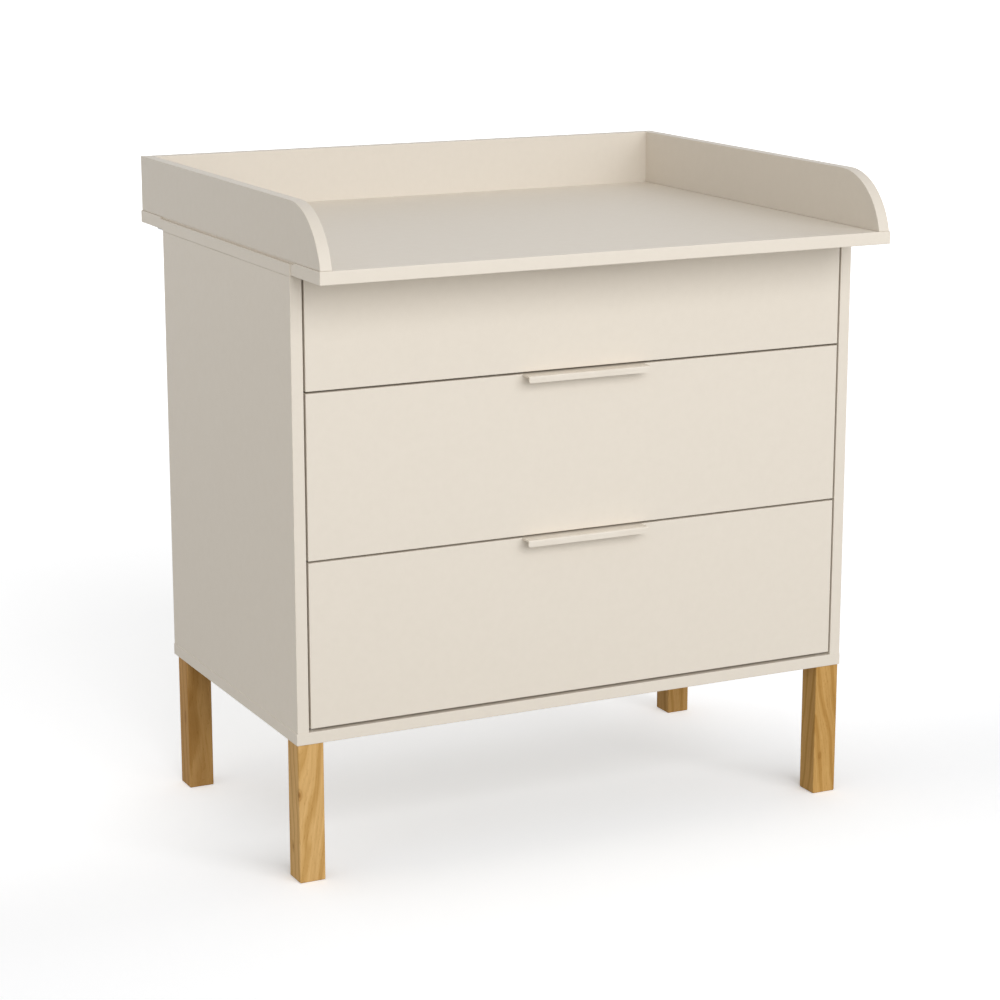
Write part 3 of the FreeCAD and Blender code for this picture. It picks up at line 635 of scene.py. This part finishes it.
channel_end = channel_front + runner_length
flange_edge = -panel_face + channel_depth
channel = fold_strip(
    "channel", (-panel_face, channel_front, 0), (flange_edge, channel_end, 0),
    [
        (lambda middle, along: middle.x < -panel_face + hair, (0, 0, channel_height)),
        (lambda middle, along: middle.z > channel_height - hair, (channel_depth, 0, 0)),
    ],
)
round_over(
    channel, roll_round,
    lambda middle, along: abs(along.y) > aligned and middle.x < -panel_face + hair, segments=4,
)
thicken(channel, steel, 1)
notch_end = front_roller_y + roller_radius + 2 * steel
notch_depth = 0.003
cut_away(channel, block(
    "notch", (-panel_face + steel, channel_front - overshoot, channel_height - notch_depth),
    (flange_edge + overshoot, notch_end, channel_height + overshoot),
))
tab_face = rear_roller_y + roller_radius + runner_play
stop_inset = 0.001
combine(channel, block(
    "tab", (-panel_face + 0.0002, tab_face, steel / 2),
    (flange_edge - stop_inset, tab_face + steel, channel_height - steel / 2),
), "UNION")
bump_front = -0.15641
bump_length = 0.004
bump_height = 0.0028
bump_round = 0.0009
bump = block(
    "bump", (-panel_face + steel + stop_inset, bump_front, steel / 2),
    (flange_edge - stop_inset, bump_front + bump_length, steel + bump_height),
)
round_over(bump, bump_round, lambda middle, along: middle.z > steel and abs(along.x) > aligned)
combine(channel, bump, "UNION")
for share in (0.35, 0.5, 0.65):
    centre = Vector((-panel_face + steel / 2, channel_front + runner_length * share, web_middle))
    slot_through(channel, centre, half_length=0.006, radius=0.0022)
round_over(
    channel, cut_round, lambda middle, along: abs(middle.y - channel_front) < hair
    or abs(middle.y - channel_end) < hair, segments=1,
)
for drawer, level in channel_levels.items():
    for side, side_name in ((-1, "left"), (1, "right")):
        name = drawer + "_channel_" + side_name
        rail = side_copy(channel, name, side)
        moved_by(rail, (0, 0, level))
        fit(rail, "cabinet", [drawer + "_cabinet_runners"], coat)
bpy.data.objects.remove(channel)


# ---- Drawer runners ----
# A Z profile of the same coated steel lies along each box: its upper flange runs on the cabinet's
# roller, and its lower one goes under the box's side and is screwed up into it.
box_face = 0.4295
flange_top = channel_height + runner_play + steel
flange_gap = 0.003
profile_front = -0.2415
profile_end = profile_front + runner_length
profile_foot = -0.004
foot_width = 0.012
foot_round = 0.0005
profile = fold_strip(
    "profile", (-panel_face + flange_gap, profile_front, flange_top),
    (-box_face, profile_end, flange_top),
    [
        (lambda middle, along: middle.x > -box_face - hair, (0, 0, profile_foot - flange_top)),
        (lambda middle, along: middle.z < profile_foot + hair, (foot_width, 0, 0)),
    ],
)
round_over(
    profile, roll_round, lambda middle, along: abs(along.y) > aligned
    and middle.x > -box_face - hair and middle.z > flange_top - hair, segments=4,
)
round_over(
    profile, foot_round, lambda middle, along: abs(along.y) > aligned
    and abs(middle.x + box_face) < hair and middle.z < profile_foot + hair, segments=4,
)
thicken(profile, steel, -1)
for share in (0.3, 0.5, 0.7):
    centre = Vector((-box_face - steel / 2, profile_front + runner_length * share, web_middle))
    slot_through(profile, centre, half_length=0.004, radius=0.0025)
round_over(
    profile, cut_round, lambda middle, along: abs(middle.y - profile_front) < hair
    or abs(middle.y - profile_end) < hair, segments=1,
)
for drawer, level in channel_levels.items():
    for side, side_name in ((-1, "left"), (1, "right")):
        rail = side_copy(profile, drawer + "_profile_" + side_name, side)
        moved_by(rail, (0, 0, level))
        fit(rail, drawer + "_drawer", [drawer + "_drawer_runners"], coat)
bpy.data.objects.remove(profile)


# ---- Rollers ----
# Every runner has one moulded nylon roller, 20 mm across, with a dished face, a raised hub and a
# rounded rim. The cabinet's turns at the front of its channel, the drawer's at the box's rear.
nylon, tree, shader, spot = surface("natural_nylon")
cloud = noise(tree, spot, 160.0)
cloud_shade = shades(tree, cloud, [(0.3, 0.70, 0.69, 0.63), (0.7, 0.79, 0.78, 0.73)])
tree.links.new(cloud_shade, shader.inputs["Base Color"])
dull(tree, shader, cloud, 0.3, 0.5)
shader.inputs["Subsurface Weight"].default_value = 0.1
shader.inputs["Subsurface Scale"].default_value = 0.002

roller_width = 0.0082
roller_bore = 0.00258
rim_round = 0.0007
rim_width = 0.0012
dish_width = 0.0030
dish_depth = 0.0014
bpy.ops.object.select_all(action="DESELECT")
bpy.ops.mesh.primitive_cylinder_add(
    vertices=64, radius=roller_radius, depth=roller_width, rotation=(0, math.pi / 2, 0)
)
roller = bpy.context.object
bpy.ops.object.transform_apply(location=True, rotation=True, scale=True)
round_over(
    roller, rim_round, lambda middle, along: abs(abs(middle.x) - roller_width / 2) < hair
)
pick(roller, "FACE", lambda middle, normal: abs(normal.x) > 0.99)
bpy.ops.mesh.inset(thickness=rim_width)
bpy.ops.mesh.inset(thickness=0.0003, depth=-dish_depth)
bpy.ops.mesh.inset(thickness=dish_width)
bpy.ops.mesh.inset(thickness=0.0002, depth=dish_depth)
bpy.ops.object.mode_set(mode="OBJECT")
drill(roller, (0, 0, 0), (1, 0, 0), roller_bore, roller_width)
front_axle = 0.0130
rear_axle = web_middle
# How far back each roller's middle lies, how high in its runner, and how far out.
roller_places = {
    "front": (front_roller_y, front_axle, (0.4405 + 0.4323) / 2),
    "rear": (rear_roller_y, rear_axle, (0.4310 + 0.4392) / 2),
}
for drawer, level in channel_levels.items():
    for row, (y, rise, x) in roller_places.items():
        for side, side_name in ((-1, "left"), (1, "right")):
            wheel = side_copy(roller, drawer + "_" + row + "_roller_" + side_name, -1)
            moved_by(wheel, (side * x, y, level + rise))
            wheels = drawer + "_" + row
            fit(wheel, wheels + "_wheels", [wheels + "_rollers"], nylon)
bpy.data.objects.remove(roller)


# ---- Metal fixings ----
# Zinc-plated steel: riveted roller pins, cam locks with their bolts, countersunk cross-head
# screws, and the legs' socket-head bolts in threaded inserts. Each kind is turned and pressed once.
zinc, tree, shader, spot = surface("zinc_plate")
bloom = noise(tree, spot, 210.0, detail=4.0)
bloom_shade = shades(tree, bloom, [(0.3, 0.50, 0.51, 0.53), (0.7, 0.66, 0.66, 0.65)])
tree.links.new(bloom_shade, shader.inputs["Base Color"])
dull(tree, shader, bloom, 0.22, 0.42)
shader.inputs["Metallic"].default_value = 1.0


def turned(name, stations, sides=24):
    """A turned piece that stands on the origin, from the radii at heights up its axis."""
    bpy.ops.object.select_all(action="DESELECT")
    first_level, first_radius = stations[0]
    bpy.ops.mesh.primitive_circle_add(
        vertices=sides, radius=first_radius, fill_type="NGON", location=(0, 0, first_level)
    )
    piece = bpy.context.object
    piece.name = name
    bpy.ops.object.transform_apply(location=True, rotation=True, scale=True)
    bpy.ops.object.mode_set(mode="EDIT")
    bpy.ops.mesh.select_all(action="SELECT")
    for (level, radius), (next_level, next_radius) in zip(stations, stations[1:]):
        bpy.ops.mesh.extrude_region_move(
            TRANSFORM_OT_translate={"value": (0, 0, next_level - level)}
        )
        grow = next_radius / radius
        bpy.ops.transform.resize(value=(grow, grow, 1), center_override=(0, 0, next_level))
    turn_outwards()
    return piece


def cross_recess(piece, half_length, half_width, depth):
    """Presses a cross into the foot end of a turned piece, where its head is."""
    for reach_x, reach_y in ((half_length, half_width), (half_width, half_length)):
        cut_away(piece, block("cross", (-reach_x, -reach_y, -0.001), (reach_x, reach_y, depth)))


def wood_screw(name, length, radius, head_radius, head_height):
    """A countersunk screw with its head at the origin and its point up the axis."""
    stations = [(0, head_radius * 0.97), (0.0002, head_radius), (head_height, radius * 0.86)]
    level = head_height + 0.0006
    pitch = radius * 0.62
    root = radius * 0.72
    while level < length - radius * 1.6:
        stations += [(level, root), (level + pitch * 0.35, radius)]
        level += pitch
    stations += [(length - radius * 1.3, radius * 0.62), (length, radius * 0.08)]
    piece = turned(name, stations, sides=20)
    cross_recess(
        piece, half_length=head_radius * 0.55, half_width=head_radius * 0.13,
        depth=head_height * 0.8,
    )
    return piece


def set_out(pattern, name, places, body, nodes, finish):
    """Copies of a fixing at points along directions, joined into one piece."""
    copies = []
    for start, toward in places:
        copy = pattern.copy()
        copy.data = pattern.data.copy()
        bpy.context.scene.collection.objects.link(copy)
        copy.rotation_euler = Vector(toward).to_track_quat("Z", "Y").to_euler()
        copy.location = start
        copies.append(copy)
    bpy.ops.object.select_all(action="DESELECT")
    for copy in copies:
        copy.select_set(True)
    bpy.context.view_layer.objects.active = copies[0]
    bpy.ops.object.transform_apply(location=True, rotation=True, scale=True)
    if len(copies) > 1:
        bpy.ops.object.join()
    copies[0].name = name
    fit(copies[0], body, nodes, finish)


def both_sides(places):
    """Places on the left, and the same on the right."""
    right = [((-x, y, z), (-dx, dy, dz)) for (x, y, z), (dx, dy, dz) in places]
    return list(places) + right


pin = turned("pin", [
    (0, 0.00225), (0.0002, 0.0025), (0.0100, 0.0025), (0.0100, 0.0040), (0.0105, 0.0040),
    (0.0108, 0.0036), (0.0110, 0.0024),
], sides=32)
channel_screw = wood_screw(
    "channel_screw", length=0.013, radius=0.00175, head_radius=0.0035, head_height=0.0012
)
channel_screw_rows = (-0.1495, 0.1430)
cabinet_pins = []
channel_screws = []
for level in channel_levels.values():
    cabinet_pins.append(((-panel_face, front_roller_y, level + front_axle), (1, 0, 0)))
    for y in channel_screw_rows:
        channel_screws.append(((-panel_face + steel, y, level + web_middle), (-1, 0, 0)))
set_out(pin, "cabinet_pins", both_sides(cabinet_pins), "cabinet", ["cabinet_roller_pins"],
        zinc)
set_out(channel_screw, "channel_screws", both_sides(channel_screws), "cabinet",
        ["runner_screws"], zinc)

profile_screw = wood_screw(
    "profile_screw", length=0.009, radius=0.0015, head_radius=0.0026, head_height=0.0012
)
box_screw = wood_screw(
    "box_screw", length=0.040, radius=0.0020, head_radius=0.0040, head_height=0.0025
)
pull_screw = wood_screw(
    "pull_screw", length=0.013, radius=0.00175, head_radius=0.0035, head_height=0.0020
)
box_lock = turned("box_lock", [(0, 0.0056), (0.0003, 0.0060), (0.0090, 0.0060)], sides=40)
cross_recess(box_lock, half_length=0.0036, half_width=0.0006, depth=0.0025)
box_bolt = turned("box_bolt", [
    (0, 0.0019), (0.0005, 0.0025), (0.0100, 0.0025), (0.0100, 0.0030), (0.0110, 0.0030),
    (0.0110, 0.0019), (0.0280, 0.0019), (0.0285, 0.0025), (0.0310, 0.0025),
])
profile_screw_rows = (-0.1875, 0.1185)
pull_screw_columns = (-0.070, 0.070)
pull_screw_drop = 0.009
upper_row_drop = 0.020
back_screw_inset = 0.006
into_front = 0.010
for drawer, level in channel_levels.items():
    box_low, box_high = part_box(drawer + "_drawer_side_left")
    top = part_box(drawer + "_handle")[1].z
    middle_x = (box_low.x + box_high.x) / 2
    low_row = box_low.z + lock_rise
    high_row = box_high.z - upper_row_drop
    fixings = {
        "pins": (pin, both_sides([
            ((-box_face, rear_roller_y, level + rear_axle), (-1, 0, 0))])),
        "profile_screws": (profile_screw, both_sides([
            ((middle_x, y, level + profile_foot - steel), (0, 0, 1))
            for y in profile_screw_rows])),
        "back_screws": (box_screw, both_sides([
            ((box_low.x, box_high.y - back_screw_inset, z), (1, 0, 0))
            for z in (low_row, high_row)])),
        "locks": (box_lock, both_sides([
            ((box_high.x, box_low.y + lock_setback, low_row), (-1, 0, 0))])),
        "lock_bolts": (box_bolt, both_sides([
            ((middle_x, box_low.y - into_front, low_row), (0, 1, 0))])),
        "pull_screws": (pull_screw, [
            ((x, box_low.y + handle_steel, top - pull_screw_drop), (0, -1, 0))
            for x in pull_screw_columns]),
    }
    for kind, (pattern, places) in fixings.items():
        set_out(pattern, drawer + "_" + kind, places, drawer + "_drawer",
                [drawer + "_drawer_fixings"], zinc)

cam = turned("cam", [(0, 0.0070), (0.0004, 0.0075), (0.0125, 0.0075)], sides=48)
cross_recess(cam, half_length=0.0045, half_width=0.0008, depth=0.0035)
cam_bolt = turned("cam_bolt", [
    (0, 0.0024), (0.0006, 0.0030), (0.0118, 0.0030), (0.0118, 0.0036), (0.0128, 0.0036),
    (0.0128, 0.0024), (0.0395, 0.0024), (0.0400, 0.0030), (0.0430, 0.0030),
])
cams = []
cam_bolts = []
joint_x = -0.451
bolt_reach = 0.046
for y in cam_rows:
    for z, inward in zip(cam_levels, (1, -1)):
        cams.append(((-panel_face, y, z), (-1, 0, 0)))
        cam_bolts.append(((joint_x, y, z - bolt_reach * inward), (0, 0, inward)))
set_out(cam, "cabinet_cams", both_sides(cams), "cabinet", ["carcass_cam_locks"],
        zinc)
set_out(cam_bolt, "cabinet_cam_bolts", both_sides(cam_bolts), "cabinet", ["carcass_cam_locks"],
        zinc)

leg_bolt = turned("leg_bolt", [
    (0, 0.0033), (0.0007, 0.0040), (0.0415, 0.0040), (0.0420, 0.0080), (0.0455, 0.0080),
    (0.0460, 0.0075),
], sides=40)
drill(leg_bolt, (0, 0, 0.046), (0, 0, -1), radius=0.0028, depth=0.0025, sides=6)
insert = turned("insert", [
    (level * 0.001, radius) for step in range(12)
    for level, radius in ((step * 2.0, 0.0052), (step * 2.0 + 1.0, 0.0060))
] + [(0.0240, 0.0052), (0.0260, 0.0060)], sides=32)
drill(insert, (0, 0, 0), (0, 0, 1), radius=0.0041, depth=0.030)
leg_rows = (-0.2375, 0.2265)
leg_bolt_x = -0.4305
leg_bolt_foot = 0.186
insert_foot = 0.184
leg_bolt_places = [((leg_bolt_x, y, leg_bolt_foot), (0, 0, 1)) for y in leg_rows]
insert_places = [((leg_bolt_x, y, insert_foot), (0, 0, 1)) for y in leg_rows]
set_out(leg_bolt, "leg_socket_bolts", both_sides(leg_bolt_places), "cabinet", ["leg_bolts"],
        zinc)
set_out(insert, "leg_threaded_inserts", both_sides(insert_places), "cabinet", ["leg_inserts"],
        zinc)

tray_under = 0.890
back_rail_y = 0.354
side_rail_x = -0.448
tray_screw = wood_screw(
    "tray_screw", length=0.050, radius=0.00225, head_radius=0.0045, head_height=0.0030
)
tray_screw_places = [
    ((x, y, tray_under), (0, 0, 1))
    for x, y in ((side_rail_x, -0.3075), (side_rail_x, 0.3075), (-0.2195, back_rail_y))
]
set_out(tray_screw, "tray_rail_screws", both_sides(tray_screw_places), "cabinet",
        ["tray_screws"], zinc)
bracket_screw = wood_screw(
    "bracket_screw", length=0.015, radius=0.00175, head_radius=0.0035, head_height=0.0018
)
bracket_steel = 0.002
bracket_fold = 0.2605
bracket_reach = 0.030
screw_reach = 0.018
bracket_screw_places = [
    ((joint_x, bracket_fold + screw_reach, tray_under - bracket_steel), (0, 0, 1)),
    ((joint_x, bracket_fold + bracket_steel, tray_under - screw_reach), (0, -1, 0)),
]
set_out(bracket_screw, "tray_bracket_screws", both_sides(bracket_screw_places), "cabinet",
        ["bracket_screws"], zinc)
for pattern in (pin, channel_screw, profile_screw, box_screw, pull_screw, box_lock, box_bolt,
                cam, cam_bolt, leg_bolt, insert, tray_screw, bracket_screw):
    bpy.data.objects.remove(pattern)


# ---- Tray brackets ----
# Two angles of 2 mm zinc-plated steel under the rear board lock the tray to the cabinet: each is
# folded from a strip with rounded corners, and screwed up into the board and into a side's edge.
bracket_half = 0.008
bracket_end = bracket_fold + bracket_reach
bend_round = 0.0024
corner_round = 0.003
bracket = fold_strip(
    "bracket", (joint_x - bracket_half, bracket_fold, tray_under),
    (joint_x + bracket_half, bracket_end, tray_under),
    [(lambda middle, along: middle.y < bracket_fold + hair, (0, 0, -bracket_reach))],
)
round_over(
    bracket, bend_round,
    lambda middle, along: abs(along.x) > aligned and middle.z > tray_under - hair
    and middle.y < bracket_fold + hair, segments=5,
)
round_corners(
    bracket, corner_round,
    lambda place: place.y > bracket_end - hair or place.z < tray_under - bracket_reach + hair,
)
thicken(bracket, bracket_steel, -1)
for side, side_name in ((-1, "left"), (1, "right")):
    angle = side_copy(bracket, "tray_angle_" + side_name, side)
    fit(angle, "cabinet", ["tray_brackets"], zinc)
bpy.data.objects.remove(bracket)


# ---- Dowels ----
# Fluted beech dowels line the boards up: in the cabinet's corners, in the drawer boxes, between
# the tray's rails and beside each leg's bolt. Their ends are chamfered, and their grain runs along.
beech, tree, shader, spot = surface("raw_beech")
fleck = noise(tree, spot, 700.0, detail=4.0)
fleck_shade = shades(tree, fleck, [(0.35, 0.46, 0.27, 0.13), (0.65, 0.62, 0.41, 0.23)])
tree.links.new(fleck_shade, shader.inputs["Base Color"])
emboss(tree, shader, fleck, 0.3, 0.0001)
shader.inputs["Roughness"].default_value = 0.7


def dowel(name, length, radius):
    """A fluted dowel that stands on the origin."""
    end = radius * 0.25
    piece = turned(
        name, [(0, radius - end), (end, radius), (length - end, radius), (length, radius - end)],
        sides=30,
    )
    pick(piece, "FACE", lambda middle, normal: abs(normal.z) < 0.1
         and round(math.degrees(math.atan2(normal.y, normal.x)) / 12) % 3 == 0)
    bpy.ops.mesh.inset(thickness=radius * 0.02, depth=-radius * 0.06, use_individual=True)
    bpy.ops.object.mode_set(mode="OBJECT")
    return piece


board_dowel = dowel("board_dowel", length=0.030, radius=0.004)
box_dowel = dowel("box_dowel", length=0.026, radius=0.003)
corner_rows = (-0.1495, 0.1505)
corner_levels = (0.216, 0.870)
corner_dowels = [((joint_x, y, z), (0, 0, 1)) for y in corner_rows for z in corner_levels]
set_out(board_dowel, "cabinet_dowels", both_sides(corner_dowels), "cabinet",
        ["carcass_dowels"], beech)
leg_dowel_x = -0.447
leg_dowel_foot = 0.192
leg_dowel_places = [((leg_dowel_x, y, leg_dowel_foot), (0, 0, 1)) for y in leg_rows]
set_out(board_dowel, "leg_fluted_dowels", both_sides(leg_dowel_places), "cabinet",
        ["leg_dowels"], beech)
rail_dowel_levels = (0.9345, 0.9685)
rail_dowels = [((joint_x, back_rail_y, z), (1, 0, 0)) for z in rail_dowel_levels]
set_out(board_dowel, "rail_dowels", both_sides(rail_dowels), "cabinet", ["tray_dowels"],
        beech)
for drawer in drawers:
    box_low, box_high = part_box(drawer + "_drawer_side_left")
    middle_x = (box_low.x + box_high.x) / 2
    place = (middle_x, box_low.y - into_front, box_high.z - upper_row_drop)
    set_out(box_dowel, drawer + "_box_dowels", both_sides([(place, (0, 1, 0))]),
            drawer + "_drawer", [drawer + "_drawer_fixings"], beech)
for pattern in (board_dowel, box_dowel):
    bpy.data.objects.remove(pattern)


# ---- Floor, background and light ----
# A plain pale studio floor that runs out to white, one large soft lamp in front and above, a weak
# warm one from the left, and an even sky. What the lens sees of the floor and sky is white, with
# the shadow kept, though the floor's glow grows towards the back: a painted light that thins the
# shadow behind the dresser.
bpy.ops.object.select_all(action="DESELECT")
bpy.ops.mesh.primitive_plane_add(size=90)
floor = bpy.context.object
floor.name = "studio_floor"


def seen_by_lens(tree):
    """One on rays from the lens, straight or by way of gloss or glass, and nought on others."""
    ray = add(tree, "LightPath").outputs
    seen = ray["Is Camera Ray"]
    for kind in ("Is Glossy Ray", "Is Transmission Ray"):
        seen = add(tree, "Math", {0: seen, 1: ray[kind]}, operation="MAXIMUM").outputs["Value"]
    return seen


paper, tree, shader, spot = surface("studio_paper")
tree.nodes.remove(shader)
seen = seen_by_lens(tree)
paper_shade = shades(tree, seen, [(0, 0.47, 0.465, 0.45), (1, 1.06, 1.08, 1.115)])
paper_face = add(tree, "BsdfDiffuse", {"Color": paper_shade}).outputs["BSDF"]
# The floor's glow rises towards the back: a painted light that thins the shadow behind the dresser.
depth = add(tree, "SeparateXYZ", {0: spot}).outputs["Y"]
painted_light_behind = add(
    tree, "MapRange",
    {"Value": depth, "From Min": -0.3, "From Max": 0.4, "To Min": 0.155, "To Max": 0.385},
    interpolation_type="SMOOTHSTEP",
).outputs["Result"]
distance = add(tree, "VectorMath", {0: spot}, operation="LENGTH").outputs["Value"]
far_lift = add(
    tree, "MapRange",
    {"Value": distance, "From Min": 1.2, "From Max": 8.0, "To Min": 0.0, "To Max": 0.6},
).outputs["Result"]
lift = add(tree, "Math", {0: painted_light_behind, 1: far_lift}, operation="ADD").outputs["Value"]
lift = add(tree, "Math", {0: seen, 1: lift}, operation="MULTIPLY").outputs["Value"]
paper_glow = add(tree, "Emission", {"Strength": lift}).outputs["Emission"]
paper_whole = add(tree, "AddShader", {0: paper_face, 1: paper_glow}).outputs["Shader"]
tree.links.new(paper_whole, tree.nodes["Material Output"].inputs["Surface"])
floor.data.materials.append(paper)

world = bpy.data.worlds.new("studio_sky")
bpy.context.scene.world = world
world.use_nodes = True
tree = world.node_tree
seen = seen_by_lens(tree)
sky = tree.nodes["Background"]
sky_shade = shades(tree, seen, [(0, 1, 0.985, 0.96), (1, 1, 1, 1)])
tree.links.new(sky_shade, sky.inputs["Color"])
sky_strength = add(tree, "MapRange", {"Value": seen, "To Min": 0.50, "To Max": 1.0})
tree.links.new(sky_strength.outputs["Result"], sky.inputs["Strength"])

dresser_middle = Vector((0, 0, 0.5))


def soft_light(name, toward, distance, wide, high, watts, colour):
    """A large lamp that lights the dresser's middle from one way."""
    toward = Vector(toward).normalized()
    bpy.ops.object.light_add(type="AREA", location=dresser_middle + toward * distance)
    lamp = bpy.context.object
    lamp.name = name
    lamp.rotation_euler = toward.to_track_quat("Z", "Y").to_euler()
    lamp.data.shape = "RECTANGLE"
    lamp.data.size = wide
    lamp.data.size_y = high
    lamp.data.energy = watts
    lamp.data.color = colour


soft_light(
    "soft_lamp", toward=(0.04, -0.40, 0.18), distance=6.0, wide=6.0, high=3.7, watts=230.0,
    colour=(1, 1, 1),
)
soft_light(
    "side_fill", toward=(-0.40, -0.06, 0.06), distance=8.0, wide=6.0, high=3.0, watts=62.0,
    colour=(1, 0.92, 0.78),
)

tilt_down = 13.37
turn_right = 26.31
bpy.ops.object.camera_add(
    location=(-1.845, -3.714, 1.455),
    rotation=(math.radians(90 - tilt_down), 0, math.radians(-turn_right)),
)
camera = bpy.context.object
camera.data.sensor_width = 36.0
camera.data.lens = 97.96
camera.data.clip_end = 200.0
bpy.context.scene.camera = camera
bpy.context.scene.view_settings.view_transform = "Standard"
